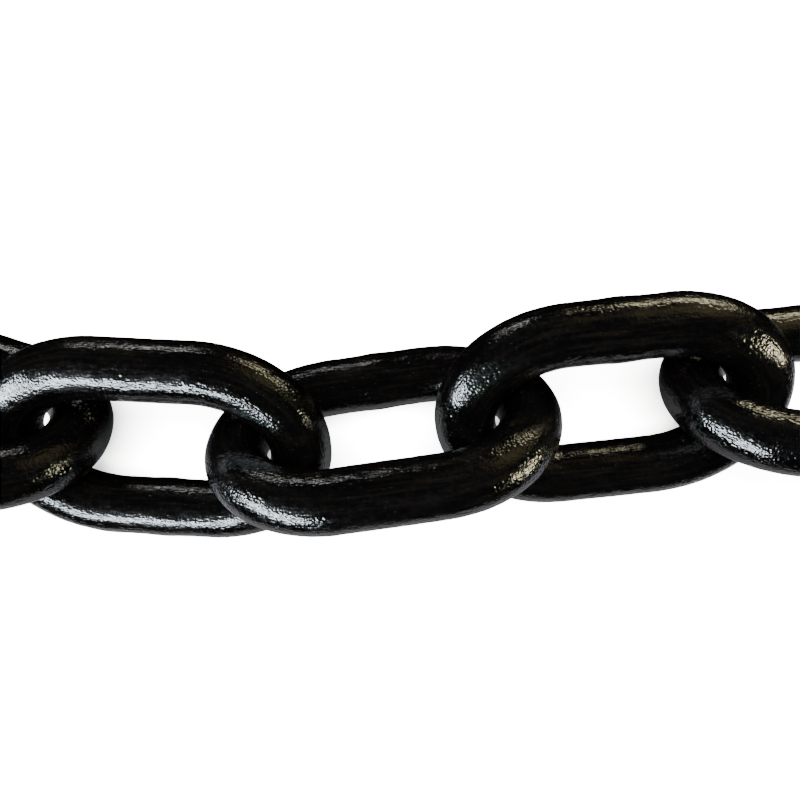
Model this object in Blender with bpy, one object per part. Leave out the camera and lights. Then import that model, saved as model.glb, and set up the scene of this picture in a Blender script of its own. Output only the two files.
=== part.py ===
"""A length of studless anchor chain, lying as one run on a level floor.

Each link is one round bar, bent to a long oval and welded shut. Neighbouring links
cross inside each other's crowns, so they lean to opposite sides, and each one rests
on the floor along its lower limb. Lengths are in metres and angles in degrees.
"""
import math

import bmesh
import bpy
import numpy as np
from mathutils import Matrix, Vector

# Driving dimensions of a link
BAR = 0.026             # diameter of the bar
PITCH = 0.100           # inside length, which is also the pitch of the taut chain
WIDTH = 0.098           # outside width
CROWN_REACH = 0.043     # how far the centre line of a crown reaches past the straight limb
SEAT_GAP = 0.0003       # clearance where two links bear on each other

# How the run lies: the heading of each link on the floor, and how far it leans up from the floor
HEADINGS = (-13, -10, -15, -16, -3, 8, 6, 5, 7, 3)
LEANS = (41, 42, 42, 45, 40, 43, 42, 42, 42, 41)

# Fineness: flats round the bar, steps round a crown, and points tried for the closest approach
FLATS = 22
CROWN_STEPS = 11
SEAT_POINTS = 240
SEAT_HALVINGS = 30
SMOOTH_ANGLE = 40

# Finish: a thick coat of glossy black paint
PAINT_COLOUR = (0.012, 0.012, 0.013, 1.0)
PAINT_ROUGHNESS = 0.22

# Worked out from the dimensions above, measured to the bar's centre line
HALF_WIDTH = (WIDTH - BAR) / 2
HALF_LENGTH = (PITCH + BAR) / 2
HALF_LIMB = HALF_LENGTH - CROWN_REACH
FLAT_ANGLE = 2 * math.pi / FLATS
FLAT_DEPTH = BAR / 2 * math.cos(FLAT_ANGLE / 2)
UP = Vector((0, 0, 1))


def clear_scene():
    """Remove whatever the scene holds."""
    for old in list(bpy.data.objects):
        bpy.data.objects.remove(old, do_unlink=True)


def black_paint():
    """The one finish of every link."""
    material = bpy.data.materials.new("black_paint")
    material.use_nodes = True
    shader = material.node_tree.nodes["Principled BSDF"]
    shader.inputs["Base Color"].default_value = PAINT_COLOUR
    shader.inputs["Roughness"].default_value = PAINT_ROUGHNESS
    shader.inputs["Metallic"].default_value = 0.0
    return material


def crown_point(turn):
    """Centre line of the far crown, from the raised limb (0) round to the low limb (pi)."""
    return HALF_LIMB + CROWN_REACH * math.sin(turn), HALF_WIDTH * math.cos(turn)


def crown_outward(turn):
    """Direction square to the centre line and away from the link's opening."""
    across = Vector((HALF_WIDTH * math.sin(turn), CROWN_REACH * math.cos(turn), 0))
    return across.normalized()


def stations():
    """Centre and outward direction of each ring of the bar, once round the oval."""
    result = []
    for end in (1, -1):
        for step in range(CROWN_STEPS + 1):
            turn = math.pi * step / CROWN_STEPS
            x, y = crown_point(turn)
            result.append((Vector((x, y, 0)) * end, crown_outward(turn) * end))
    return result


def floor_flat(lean, side):
    """Angle round the bar, from the outward direction, of the flat that faces the floor."""
    return -side * (math.pi / 2 - math.radians(lean))


def link_mesh(name, lean, side):
    """Sweep the bar round the oval, with one of its flats turned to face the floor."""
    bm = bmesh.new()
    rings = []
    first_corner = floor_flat(lean, side) + FLAT_ANGLE / 2 - math.pi / 2
    for centre, outward in stations():
        frame = Matrix((outward, UP, outward.cross(UP))).transposed()
        place = Matrix.Translation(centre) @ frame.to_4x4() @ Matrix.Rotation(first_corner, 4, "Z")
        ring = bmesh.ops.create_circle(bm, segments=FLATS, radius=BAR / 2, matrix=place)["verts"]
        rings.append({edge for vert in ring for edge in vert.link_edges})
    for ring, following in zip(rings, rings[1:] + rings[:1]):
        bmesh.ops.bridge_loops(bm, edges=list(ring | following))
    bmesh.ops.recalc_face_normals(bm, faces=bm.faces)
    mesh = bpy.data.meshes.new(name)
    bm.to_mesh(mesh)
    bm.free()
    mesh.shade_smooth()
    mesh.set_sharp_from_angle(angle=math.radians(SMOOTH_ANGLE))
    return mesh


def link_frame(heading, lean, side):
    """Axes of a link: along it, across towards its raised limb, and square to both."""
    along = Vector((math.cos(math.radians(heading)), math.sin(math.radians(heading)), 0))
    level = UP.cross(along)
    across = level * side * math.cos(math.radians(lean)) + UP * math.sin(math.radians(lean))
    return Matrix((along, across, along.cross(across))).transposed().to_4x4()


def rest_height(lean):
    """Height of a link's centre when its low limb lies on the floor."""
    return HALF_WIDTH * math.sin(math.radians(lean)) + FLAT_DEPTH


def crown_line(end):
    """Points along the straight steps of one crown's centre line, in the link's own frame."""
    steps = np.arange(CROWN_STEPS + 1)
    corners = np.array([crown_point(math.pi * step / CROWN_STEPS) for step in steps])
    where = np.linspace(0, CROWN_STEPS, SEAT_POINTS)
    x = np.interp(where, steps, corners[:, 0])
    y = np.interp(where, steps, corners[:, 1])
    return np.stack((x, y, np.zeros(SEAT_POINTS)), axis=1) * end


def placed(frame, points):
    """Points of a link's own frame, in the world."""
    matrix = np.array(frame)
    return points @ matrix[:3, :3].T + matrix[:3, 3]


def closest_approach(frame, following):
    """Least distance between the far crown of one link and the near crown of the next."""
    far = placed(frame, crown_line(1))
    near = placed(following, crown_line(-1))
    return np.linalg.norm(far[:, None] - near[None], axis=2).min()


def seated(frame, heading, lean, side):
    """Draw the next link out along the run until its crown bears on this one's."""
    following = link_frame(heading, lean, side)
    along = frame.col[0].to_3d()
    next_along = following.col[0].to_3d()
    pull = (along + next_along).normalized()
    crown = frame.translation + along * HALF_LENGTH
    tight, slack = 0.0, 2 * BAR
    for _ in range(SEAT_HALVINGS):
        spacing = (tight + slack) / 2
        centre = crown - pull * spacing + next_along * HALF_LENGTH
        centre.z = rest_height(lean)
        following.translation = centre
        if closest_approach(frame, following) < BAR + SEAT_GAP:
            tight = spacing
        else:
            slack = spacing
    return following


def run_frames():
    """The place of every link, from one end of the run to the other."""
    frames = []
    for number, (heading, lean) in enumerate(zip(HEADINGS, LEANS)):
        side = 1 if number % 2 == 0 else -1
        if frames:
            frame = seated(frames[-1], heading, lean, side)
        else:
            frame = link_frame(heading, lean, side)
            frame.translation = Vector((0, 0, rest_height(lean)))
        frames.append(frame)
    return frames


def build_link(name, frame, lean, side, paint):
    """One link, standing free."""
    link = bpy.data.objects.new(name, link_mesh(name, lean, side))
    link.data.materials.append(paint)
    bpy.context.scene.collection.objects.link(link)
    link.matrix_world = frame
    return link


def hang_on(link, frame, earlier, earlier_frame):
    """Parent a link to a pivot on the centre of the earlier link's crown, where it swings."""
    pivot = bpy.data.objects.new("pivot_" + link.name, None)
    pivot.empty_display_size = BAR
    bpy.context.scene.collection.objects.link(pivot)
    to_crown = Matrix.Translation((HALF_LENGTH, 0, 0))
    pivot.parent = earlier
    pivot.matrix_local = to_crown
    link.parent = pivot
    link.matrix_local = (earlier_frame @ to_crown).inverted() @ frame


def centred(frames):
    """Shift the run so that its outline is centred on the origin."""
    low = np.full(3, np.inf)
    high = -low
    for frame in frames:
        for end in (1, -1):
            line = placed(frame, crown_line(end))
            low = np.minimum(low, line.min(axis=0))
            high = np.maximum(high, line.max(axis=0))
    shift = Vector((-(low[0] + high[0]) / 2, -(low[1] + high[1]) / 2, 0))
    return [Matrix.Translation(shift) @ frame for frame in frames]


def main():
    clear_scene()
    paint = black_paint()
    frames = centred(run_frames())
    earlier = None
    for number, (frame, lean) in enumerate(zip(frames, LEANS)):
        side = 1 if number % 2 == 0 else -1
        link = build_link(f"link_{number + 1:02d}", frame, lean, side, paint)
        if earlier:
            hang_on(link, frame, earlier, frames[number - 1])
        earlier = link


main()
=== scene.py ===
"""A metre of studless anchor chain in thick glossy black paint, lying on a pale studio floor.

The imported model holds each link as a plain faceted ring. This script measures where every
one of them lies and puts a forged link in its place, with its weld, its uneven skin and
its paint. Lengths are in metres and angles in radians.
"""
import math

import bpy
import numpy as np
from mathutils import Matrix, Vector, noise


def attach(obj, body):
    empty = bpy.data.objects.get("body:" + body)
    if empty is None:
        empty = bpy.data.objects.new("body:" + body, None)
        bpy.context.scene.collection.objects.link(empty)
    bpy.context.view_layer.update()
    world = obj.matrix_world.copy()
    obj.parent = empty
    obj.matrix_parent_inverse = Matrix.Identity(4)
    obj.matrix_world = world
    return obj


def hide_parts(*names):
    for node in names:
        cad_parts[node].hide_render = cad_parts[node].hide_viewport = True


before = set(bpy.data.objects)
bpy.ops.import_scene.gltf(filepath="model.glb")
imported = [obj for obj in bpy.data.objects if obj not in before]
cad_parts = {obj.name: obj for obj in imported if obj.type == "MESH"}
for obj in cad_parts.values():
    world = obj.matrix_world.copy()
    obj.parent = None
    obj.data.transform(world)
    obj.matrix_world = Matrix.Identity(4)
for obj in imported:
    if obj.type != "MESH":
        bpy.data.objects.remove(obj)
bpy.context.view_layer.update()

bl_info = {
    "name": "Anchor chain",
    "version": (1, 0, 0),
    "blender": (4, 5, 0),
    "location": "3D View > Sidebar > Chain",
    "description": "Dresses a run of studless chain links in forged and painted steel",
    "category": "Add Mesh",
}

LINK_NODES = sorted(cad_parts)
WELDED_ON_TOP = ("link_02", "link_07", "link_10")

# The forged skin
SKIN_FIELD = "bar_skin"         # mesh attribute: place on the skin of the bar, pulled straight
CROWN_POINTS = 400              # points that a crown is drawn with before they are spaced evenly
SAME_POINT = 1e-9               # points nearer than this are one
HUMP_LAYERS = (0.9, 2.0, 2)     # how much lower and finer each layer is, and how many there are

# The paint's patterns
PATTERN_TURN = (0.7, 0.5, 0.3)  # turned like this, a pattern doesn't show the grid it is made on
STREAK_SHARE = 0.5              # share of the relief
WRINKLE_SHARE = 0.15
WRINKLE_SMOOTHNESS = 0.35
WEAR_STREAKS = (5, 20)          # width and length, in widths of a drawn streak
THIN_STREAKS = (1.5, 30)
PATCHY = (0.42, 0.62)           # here and below: a pattern's values from none of it to all
PITTED = (0.08, 0.42)
SPECKLED = (0.38, 0.62)
DULLED = (0.35, 0.7)
THINNED = (0.45, 0.75)

# The sockets of a Mix node that is set to colours
FIRST_COLOUR, SECOND_COLOUR, MIXED_COLOUR = 6, 7, 2

# The stage
FLOOR_DROP = 0.0001             # how far the floor lies under the links
GROUND_EDGE = (-0.50, -0.40)    # a direction's height, over which the ground leaves the gloss
GROUND_SLOPE = 1.8              # how fast the ground in the gloss brightens up to that edge
GROUND_BASE = 1.95              # and its brightness if it carried on up to level
GROUND_BACK = (-0.15, 0.45)     # a direction's depth, over which the ground leaves the gloss
LAMP_AIM = (0.0, -0.03, 0.03)

# Each lamp: name, place, length and width, how much of each is at full strength, and its settings
LAMPS = (
    ("cool_lamp", (-0.72, -0.68, 0.46), (1.50, 0.34), (0.7, 0.0), "cool_power", "cool"),
    ("warm_lamp", (0.60, 0.80, 0.27), (0.90, 0.26), (0.3, 0.0), "warm_power", "warm"),
    ("side_lamp", (0.95, -0.31, 0.22), (0.55, 0.14), (0.4, 0.0), "side_power", "warm"),
    ("back_lamp", (-0.36, 0.92, 0.26), (0.55, 0.12), (0.5, 0.0), "back_power", "white"),
    ("warm_glow", (0.75, 0.55, 0.75), (1.30, 1.10), (0.0, 0.0), "warm_glow", "brown"),
    ("cool_glow", (-0.75, -0.75, 0.75), (1.30, 1.10), (0.0, 0.0), "cool_glow", "cool"),
    ("top_lamp", (0.0, 0.0, 2.0), (1.8, 1.8), (0.9, 0.9), "top_power", "white"),
)
NOT_IN_GLOSS = ("top_lamp",)


def length(name, description, default, largest=10.0):
    """A length that a user may change."""
    return bpy.props.FloatProperty(
        name=name, description=description, default=default, min=0.0, max=largest,
        precision=5, unit="LENGTH")


def share(name, description, default):
    """A number from nothing to all."""
    return bpy.props.FloatProperty(
        name=name, description=description, default=default, min=0.0, max=1.0, subtype="FACTOR")


def colour(name, description, default):
    """A colour that a user may change."""
    return bpy.props.FloatVectorProperty(
        name=name, description=description, default=default, min=0.0, max=1.0, size=3,
        subtype="COLOR")


def place(name, description, default):
    """A point in the frame."""
    return bpy.props.FloatVectorProperty(
        name=name, description=description, default=default, size=3, subtype="TRANSLATION",
        unit="LENGTH")


def power(name, description, default):
    """The power of a lamp."""
    return bpy.props.FloatProperty(
        name=name, description=description, default=default, min=0.0, unit="POWER")


class LinkShape(bpy.types.PropertyGroup):
    """The forged link."""
    bar: length("Bar", "Diameter of the round bar", 0.026)
    pitch: length("Pitch", "Inside length of a link", 0.100)
    width: length("Width", "Outside width of a link", 0.098)
    crown_reach: length("Crown reach", "How far a crown's centre line passes the limb", 0.043)
    humps: length("Humps", "Height of the broad humps left by forging", 0.00010)
    hump_size: length("Hump size", "Distance from one broad hump to the next", 0.013)
    dimples: length("Dimples", "Height of the small dimples of the scaled skin", 0.00007)
    dimple_size: length("Dimple size", "Distance from one small dimple to the next", 0.0035)
    weld_swell: length("Weld swell", "How far the trimmed weld stands from the bar", 0.0004)
    weld_length: length("Weld length", "Length of bar that the weld swells", 0.006)
    contact: length("Contact", "Height over the floor where the skin is fully uneven", 0.004)
    sides: bpy.props.IntProperty(
        name="Sides", description="Faces round the bar", default=84, min=12, max=128)
    rings: bpy.props.IntProperty(
        name="Rings", description="Rings of the bar along a link", default=360, min=40, max=600)


class PaintLook(bpy.types.PropertyGroup):
    """The black paint and the skin below it."""
    black: colour("Black", "Colour of the thick paint", (0.00008, 0.00008, 0.00009))
    thin: colour("Thin paint", "Colour where the paint is thin", (0.00030, 0.00026, 0.00020))
    gloss: share("Gloss", "Roughness of the smoothest paint", 0.07)
    dull: share("Dull", "Roughness of the dullest paint", 0.26)
    relief: length("Relief", "Height of the fine relief under the paint", 0.00036)
    smoothest: share("Smoothest", "Share of the relief left on the smoothest skin", 0.7)
    straight: share("Straight", "Share of the grain left on the straight limbs", 0.6)
    streak_width: length("Streak width", "Width of the drawn streaks along the bar", 0.0009)
    streak_length: length("Streak length", "Length of the drawn streaks along the bar", 0.0045)
    grain: share("Grain", "Share of the relief that is grain", 0.55)
    pits: share("Pits", "Share of the relief that is pits", 0.3)
    grain_size: length("Grain size", "Size of the fine grain", 0.0009)
    wrinkle_width: length("Wrinkle width", "Width of the wrinkles of the paint", 0.0016)
    wrinkle_length: length("Wrinkle length", "Length of the wrinkles along the bar", 0.0045)
    pit_size: length("Pit size", "Distance between pits", 0.0026)
    patch_size: length("Patch size", "Size of the patches with more or fewer pits", 0.010)


class StageLook(bpy.types.PropertyGroup):
    """The floor, the lamps and the camera."""
    floor: colour("Floor", "Colour of the floor", (0.86, 0.86, 0.86))
    floor_size: length("Floor size", "Length of the floor's sides", 14.0, 40.0)
    sky: colour("Sky", "Colour of the room round the floor", (0.80, 0.82, 0.85))
    sky_gain: bpy.props.FloatProperty(
        name="Room, gain", description="How bright the room round the floor is",
        default=4.0, min=0.0)
    gloss_floor: colour(
        "Floor in gloss", "Colour of the floor as the gloss shows it", (0.80, 0.82, 0.86))
    gloss_gain: bpy.props.FloatProperty(
        name="Floor in gloss, gain", description="How bright the gloss shows the floor",
        default=1.15, min=0.0)
    camera_place: place("Camera place", "Where the camera stands", (0.0573, -0.0648, 0.3270))
    camera_aim: place("Camera aim", "The point the camera looks at", (0.0515, -0.0246, 0.0300))
    focal_length: bpy.props.FloatProperty(
        name="Focal length", description="Focal length of the lens, in millimetres",
        default=30.6, min=10.0, max=300.0)
    cool: colour("Cool light", "Colour of the cool lamp on the left", (0.82, 0.92, 1.0))
    white: colour("White light", "Colour of the lamps overhead and behind", (1.0, 0.99, 0.96))
    warm: colour("Warm light", "Colour of the warm lamps on the right", (1.0, 0.92, 0.60))
    brown: colour("Brown light", "Colour of the broad warm lamp", (1.0, 0.80, 0.38))
    cool_power: power("Cool power", "Power of the cool lamp", 115.0)
    warm_power: power("Warm power", "Power of the warm lamp behind on the right", 12.0)
    side_power: power("Side power", "Power of the warm lamp at the side", 16.0)
    warm_glow: power("Warm glow", "Power of the broad dim lamp on the right", 4.0)
    cool_glow: power("Cool glow", "Power of the broad dim lamp on the left", 3.5)
    back_power: power("Back power", "Power of the dim lamp behind the run", 3.0)
    top_power: power(
        "Top power", "Power of the broad lamp overhead, which gloss doesn't show", 1600.0)


class Shade:
    """A shader socket that arithmetic works on. Each step adds the node that does it."""

    def __init__(self, graph, socket):
        self.graph = graph
        self.socket = socket

    def math(self, operation, *values):
        """A Math node on this shade and numbers or other shades."""
        settings = {"operation": operation}
        inputs = dict(enumerate(values))
        return self.graph.add("ShaderNodeMath", settings, inputs).out("Value")

    def __add__(self, other):
        return self.math("ADD", self, other)

    __radd__ = __add__

    def __sub__(self, other):
        return self.math("SUBTRACT", self, other)

    def __rsub__(self, other):
        return self.math("SUBTRACT", other, self)

    def __mul__(self, other):
        return self.math("MULTIPLY", self, other)

    __rmul__ = __mul__

    def size(self):
        return self.math("ABSOLUTE", self)

    def between(self, low, high):
        """Nothing up to low, all from high on, and a smooth rise between."""
        settings = {"interpolation_type": "SMOOTHSTEP"}
        inputs = {"Value": self, "From Min": low, "From Max": high}
        return self.graph.add("ShaderNodeMapRange", settings, inputs).out("Result")


class Node:
    """One shader node, with its outputs as shades."""

    def __init__(self, graph, node):
        self.graph = graph
        self.node = node

    def out(self, name):
        return Shade(self.graph, self.node.outputs[name])


class Graph:
    """The node tree of one material, lamp or world."""

    def __init__(self, owner):
        owner.use_nodes = True
        self.tree = owner.node_tree
        self.tree.nodes.clear()

    def add(self, kind, settings=None, inputs=None):
        """Make a node, set it up, then fill its sockets with values or links."""
        node = self.tree.nodes.new(kind)
        for name, value in (settings or {}).items():
            setattr(node, name, value)
        for name, value in (inputs or {}).items():
            if isinstance(value, Shade):
                self.tree.links.new(value.socket, node.inputs[name])
            else:
                node.inputs[name].default_value = value
        return Node(self, node)

    def along_bar(self, skin, wide, long):
        """Places on the skin for a pattern whose marks are so wide, and so long along the bar."""
        inputs = {
            "Vector": skin, "Scale": (1 / wide, 1 / wide, 1 / long), "Rotation": PATTERN_TURN}
        return self.add("ShaderNodeMapping", {}, inputs).out("Vector")

    def part(self, vector, name):
        """X, Y or Z of a vector."""
        return self.add("ShaderNodeSeparateXYZ", {}, {"Vector": vector}).out(name)

    def noise(self, vector, scale, detail=2.0, roughness=0.5):
        """Soft spots, from nothing to one."""
        inputs = {"Vector": vector, "Scale": scale, "Detail": detail, "Roughness": roughness}
        return self.add("ShaderNodeTexNoise", {}, inputs).out("Fac")

    def blended(self, factor, first, second):
        """Two colours mixed by a factor."""
        settings = {"data_type": "RGBA"}
        inputs = {
            "Factor": factor, FIRST_COLOUR: (*first, 1.0), SECOND_COLOUR: (*second, 1.0)}
        return self.add("ShaderNodeMix", settings, inputs).out(MIXED_COLOUR)


def black_paint(look, bar_length, weld_length):
    """Thick black gloss over a drawn, wrinkled and grainy skin."""
    material = bpy.data.materials.new("black_paint")
    graph = Graph(material)
    skin = graph.add("ShaderNodeAttribute", {"attribute_name": SKIN_FIELD}).out("Vector")
    spot = graph.add("ShaderNodeTexCoord").out("Object")
    # The weld is half the bar's length from the far limb's middle, and each bend a quarter
    from_far_limb = (graph.part(skin, "Z") - bar_length / 2).size()
    unwelded = 1 - from_far_limb.between(bar_length / 2 - weld_length, bar_length / 2)
    from_bend = (from_far_limb - bar_length / 4).size()
    bent = 1 - from_bend.between(bar_length / 12, bar_length / 6)
    drawn = graph.along_bar(skin, look.streak_width, look.streak_length)
    streaks = graph.noise(drawn, 1.0, 1.0) * unwelded
    folded = graph.along_bar(skin, look.wrinkle_width, look.wrinkle_length)
    cells = graph.add("ShaderNodeTexVoronoi", {"feature": "SMOOTH_F1"}, {
        "Vector": folded, "Scale": 1.0, "Smoothness": WRINKLE_SMOOTHNESS})
    wrinkles = cells.out("Distance") * unwelded
    grain = graph.noise(spot, 1 / look.grain_size, 0.0)
    patches = graph.noise(spot, 1 / look.patch_size).between(*PATCHY)
    dots = graph.add("ShaderNodeTexVoronoi", {}, {"Vector": spot, "Scale": 1 / look.pit_size})
    pits = (1 - dots.out("Distance").between(*PITTED)) * patches
    coarse = look.smoothest + (1 - look.smoothest) * patches
    scaled = look.straight + (1 - look.straight) * bent
    drawn_skin = streaks * STREAK_SHARE + wrinkles * WRINKLE_SHARE
    relief = (drawn_skin + grain * scaled * look.grain - pits * look.pits) * coarse
    bump = graph.add("ShaderNodeBump", {}, {
        "Height": relief, "Distance": look.relief, "Strength": 1.0})
    dull_streaks = graph.along_bar(skin, *(look.streak_width * times for times in WEAR_STREAKS))
    wear = graph.noise(dull_streaks, 1.0, 3.0, 0.55).between(*DULLED)
    speckle = graph.noise(spot, 0.5 / look.grain_size, 2.0, 0.6).between(*SPECKLED)
    dullness = speckle * 0.5 + wear * 0.5
    roughness = look.gloss + dullness * (look.dull - look.gloss)
    thin_streaks = graph.along_bar(skin, *(look.streak_width * times for times in THIN_STREAKS))
    tone = graph.blended(
        graph.noise(thin_streaks, 1.0).between(*THINNED), look.black, look.thin)
    shader = graph.add("ShaderNodeBsdfPrincipled", {}, {
        "Base Color": tone, "Roughness": roughness, "Normal": bump.out("Normal"),
        "IOR": 1.5})
    graph.add("ShaderNodeOutputMaterial", {}, {"Surface": shader.out("BSDF")})
    return material


def link_axes(node):
    """Centre, direction along, and direction across to the raised limb, of a CAD link."""
    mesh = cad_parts[node].data
    points = np.empty(len(mesh.vertices) * 3)
    mesh.vertices.foreach_get("co", points)
    points = points.reshape(-1, 3)
    centre = (points.min(axis=0) + points.max(axis=0)) / 2
    spread = np.linalg.eigh(np.cov((points - centre).T))[1]
    along = Vector(spread[:, 2])
    across = Vector(spread[:, 1])
    along *= math.copysign(1, along.x)
    across *= math.copysign(1, across.z)
    return Vector(centre), along, across


def oval_line(shape, welded_on_top):
    """Evenly spaced points of a link's centre line, their outward directions, how far along the
    line each is, and the line's length.

    The line starts and ends in the middle of the welded limb.
    """
    half_width = (shape.width - shape.bar) / 2
    half_limb = (shape.pitch + shape.bar) / 2 - shape.crown_reach
    turns = np.linspace(0, math.pi, CROWN_POINTS)
    reach = half_limb + shape.crown_reach * np.sin(turns)
    crown = np.stack((reach, half_width * np.cos(turns)), 1)
    start = np.array(((0.0, half_width),))
    line = np.concatenate((start, crown, -crown, start))
    if not welded_on_top:
        line = -line
    gaps = np.linalg.norm(np.diff(line, axis=0), axis=1)
    keep = np.concatenate(((True,), gaps > SAME_POINT))
    line = line[keep]
    travel = np.concatenate(((0.0,), np.cumsum(np.linalg.norm(np.diff(line, axis=0), axis=1))))
    stops = np.linspace(0, travel[-1], shape.rings, endpoint=False)
    x = np.interp(stops, travel, line[:, 0])
    y = np.interp(stops, travel, line[:, 1])
    centres = np.stack((x, y), 1)
    ahead = np.roll(centres, -1, axis=0) - np.roll(centres, 1, axis=0)
    ahead /= np.linalg.norm(ahead, axis=1)[:, None]
    outward = np.stack((-ahead[:, 1], ahead[:, 0]), 1)
    return centres, outward, stops, travel[-1]


def skin_height(shape, spot, distance):
    """How far the forged skin stands from the true round bar at a point in the frame.

    The distance is the one along the bar to the weld.
    """
    broad = noise.fractal(spot / shape.hump_size, *HUMP_LAYERS) * shape.humps
    fine = noise.noise(spot / shape.dimple_size) * shape.dimples
    weld = shape.weld_swell * math.exp(-(distance / shape.weld_length) ** 2)
    return broad + fine + weld


def forged_link(node, shape, paint):
    """A smooth, slightly uneven link in the place of a CAD link."""
    centre, along, across = link_axes(node)
    normal = along.cross(across)
    to_frame = Matrix((along, across, normal)).transposed()
    centres, outward, stops, total = oval_line(shape, node in WELDED_ON_TOP)
    radius = shape.bar / 2
    turns = [2 * math.pi * side / shape.sides for side in range(shape.sides)]
    vertices = []
    for (x, y), (out_x, out_y), stop in zip(centres, outward, stops):
        distance = min(stop, total - stop)
        for turn in turns:
            round_x, round_z = math.cos(turn), math.sin(turn)
            direction = to_frame @ Vector((out_x * round_x, out_y * round_x, round_z))
            spot = centre + to_frame @ Vector((x, y, 0)) + direction * radius
            above = min(max(spot.z / shape.contact, 0.0), 1.0)
            spot += direction * skin_height(shape, spot, distance) * above
            spot.z = max(spot.z, 0.0)
            vertices.append(spot)
    faces, skin = [], []
    for ring in range(shape.rings):
        following = (ring + 1) % shape.rings
        for side in range(shape.sides):
            beside = (side + 1) % shape.sides
            faces.append((
                ring * shape.sides + side, ring * shape.sides + beside,
                following * shape.sides + beside, following * shape.sides + side))
            for step, corner in ((0, side), (0, beside), (1, beside), (1, side)):
                turn = turns[corner]
                travel = (ring + step) * total / shape.rings
                skin.extend((radius * math.cos(turn), radius * math.sin(turn), travel))
    mesh = bpy.data.meshes.new("forged_" + node)
    mesh.from_pydata(vertices, [], faces)
    mesh.attributes.new(SKIN_FIELD, "FLOAT_VECTOR", "CORNER").data.foreach_set("vector", skin)
    mesh.materials.append(paint)
    mesh.shade_smooth()
    link = bpy.data.objects.new("forged_" + node, mesh)
    bpy.context.scene.collection.objects.link(link)
    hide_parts(node)
    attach(link, node)


class CHAIN_OT_forged_links(bpy.types.Operator):
    """Put a forged and painted link in the place of every CAD link"""
    bl_idname = "chain.forged_links"
    bl_label = "Forged links"

    def execute(self, context):
        shape = context.scene.chain_link
        bar_length = oval_line(shape, True)[-1]
        paint = black_paint(context.scene.chain_paint, bar_length, shape.weld_length)
        for node in LINK_NODES:
            forged_link(node, shape, paint)
        return {"FINISHED"}


def stage_floor(look):
    """A plain pale floor."""
    half = look.floor_size / 2
    corners = [(-half, -half), (half, -half), (half, half), (-half, half)]
    mesh = bpy.data.meshes.new("floor")
    mesh.from_pydata([(x, y, -FLOOR_DROP) for x, y in corners], [], [(0, 1, 2, 3)])
    material = bpy.data.materials.new("pale_floor")
    graph = Graph(material)
    shader = graph.add("ShaderNodeBsdfPrincipled", {}, {
        "Base Color": (*look.floor, 1.0), "Roughness": 0.9, "Specular IOR Level": 0.1})
    graph.add("ShaderNodeOutputMaterial", {}, {"Surface": shader.out("BSDF")})
    mesh.materials.append(material)
    floor = bpy.data.objects.new("floor", mesh)
    bpy.context.scene.collection.objects.link(floor)
    floor.visible_glossy = False


def stage_room(look):
    """The pale room, of which the gloss shows only the dim ground in front of the run."""
    world = bpy.data.worlds.new("room")
    graph = Graph(world)
    towards = graph.add("ShaderNodeTexCoord").out("Generated")
    level = graph.part(towards, "Z")
    below = (1 - level.between(*GROUND_EDGE)) * (level * GROUND_SLOPE + GROUND_BASE)
    in_front = 1 - graph.part(towards, "Y").between(*GROUND_BACK)
    in_gloss = graph.add("ShaderNodeLightPath").out("Is Glossy Ray")
    tint = graph.blended(in_gloss, look.sky, look.gloss_floor)
    strength = in_gloss * below * in_front * look.gloss_gain + (1 - in_gloss) * look.sky_gain
    background = graph.add("ShaderNodeBackground", {}, {"Color": tint, "Strength": strength})
    graph.add("ShaderNodeOutputWorld", {}, {"Surface": background.out("Background")})
    bpy.context.scene.world = world


def lamp(name, at, size, core, power_watts, tint):
    """A soft rectangular lamp over the run, fading from its core to its edges."""
    light = bpy.data.lights.new(name, "AREA")
    light.shape = "RECTANGLE"
    light.size, light.size_y = size
    light.energy = power_watts
    light.color = tint
    graph = Graph(light)
    across = graph.add("ShaderNodeNewGeometry").out("Parametric")
    fade = 1.0
    for axis, bright in zip(("X", "Y"), core):
        from_middle = (graph.part(across, axis) * 2 - 1).size()
        fade = (1 - from_middle.between(bright, 1)) * fade
    emission = graph.add("ShaderNodeEmission", {}, {
        "Color": (1.0, 1.0, 1.0, 1.0), "Strength": fade})
    graph.add("ShaderNodeOutputLight", {}, {"Surface": emission.out("Emission")})
    holder = bpy.data.objects.new(name, light)
    holder.location = at
    holder.rotation_mode = "QUATERNION"
    holder.rotation_quaternion = (Vector(LAMP_AIM) - Vector(at)).to_track_quat("-Z", "Y")
    holder.visible_glossy = name not in NOT_IN_GLOSS
    holder.visible_camera = False
    bpy.context.scene.collection.objects.link(holder)


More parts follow.
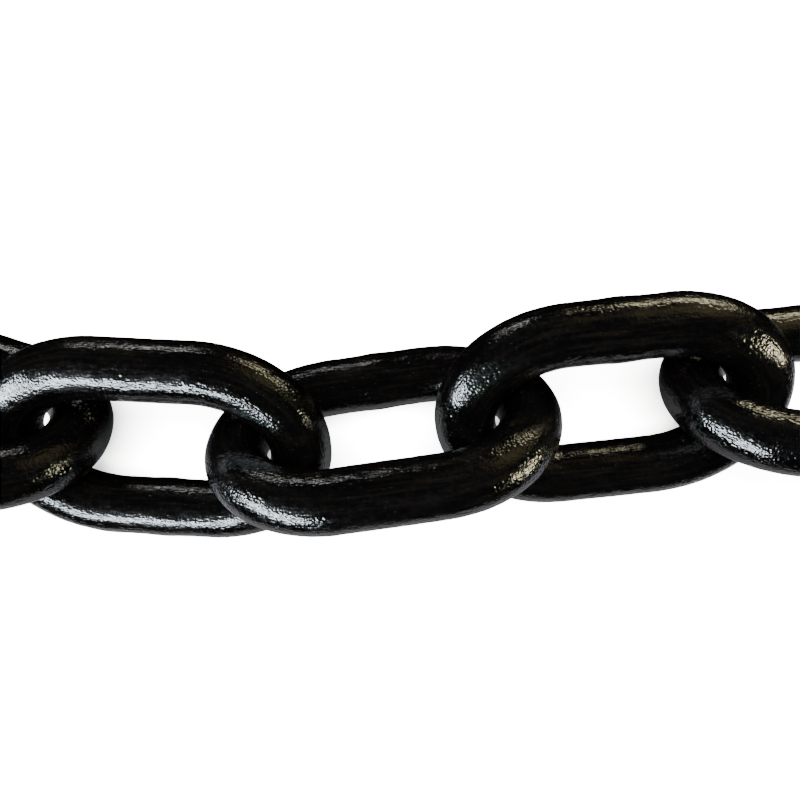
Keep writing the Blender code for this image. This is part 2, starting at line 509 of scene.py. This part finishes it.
def stage_camera(look):
    """The camera, close above the run and looking almost straight down on it."""
    data = bpy.data.cameras.new("camera")
    data.lens = look.focal_length
    data.clip_start = 0.01
    camera = bpy.data.objects.new("camera", data)
    camera.location = look.camera_place
    back = (Vector(look.camera_place) - Vector(look.camera_aim)).normalized()
    right = Vector((0, 1, 0)).cross(back).normalized()
    camera.rotation_mode = "QUATERNION"
    turned = Matrix((right, back.cross(right), back)).transposed()
    camera.rotation_quaternion = turned.to_quaternion()
    bpy.context.scene.collection.objects.link(camera)
    bpy.context.scene.camera = camera


class CHAIN_OT_stage(bpy.types.Operator):
    """Lay the floor, set the lamps and place the camera"""
    bl_idname = "chain.stage"
    bl_label = "Stage"

    def execute(self, context):
        look = context.scene.chain_stage
        stage_floor(look)
        stage_room(look)
        for name, at, size, core, watts, tint in LAMPS:
            lamp(name, at, size, core, getattr(look, watts), getattr(look, tint))
        stage_camera(look)
        return {"FINISHED"}


class CHAIN_PT_panel(bpy.types.Panel):
    """Lists the chain's operators and settings"""
    bl_idname = "CHAIN_PT_panel"
    bl_label = "Anchor chain"
    bl_space_type = "VIEW_3D"
    bl_region_type = "UI"
    bl_category = "Chain"

    def draw(self, context):
        for settings, operator in PIECES:
            box = self.layout.box()
            group = getattr(context.scene, settings)
            for name in group.bl_rna.properties.keys():
                if name not in ("rna_type", "name"):
                    box.prop(group, name)
            box.operator(operator)


PIECES = (
    ("chain_link", "chain.forged_links"),
    ("chain_paint", "chain.forged_links"),
    ("chain_stage", "chain.stage"),
)
SETTINGS = {"chain_link": LinkShape, "chain_paint": PaintLook, "chain_stage": StageLook}
CLASSES = (
    LinkShape, PaintLook, StageLook, CHAIN_OT_forged_links, CHAIN_OT_stage, CHAIN_PT_panel)


def register():
    for cls in CLASSES:
        bpy.utils.register_class(cls)
    for name, group in SETTINGS.items():
        setattr(bpy.types.Scene, name, bpy.props.PointerProperty(type=group))


def unregister():
    for name in SETTINGS:
        delattr(bpy.types.Scene, name)
    for cls in reversed(CLASSES):
        bpy.utils.unregister_class(cls)


def main():
    register()
    bpy.ops.chain.forged_links()
    bpy.ops.chain.stage()


if __name__ == "__main__":
    main()
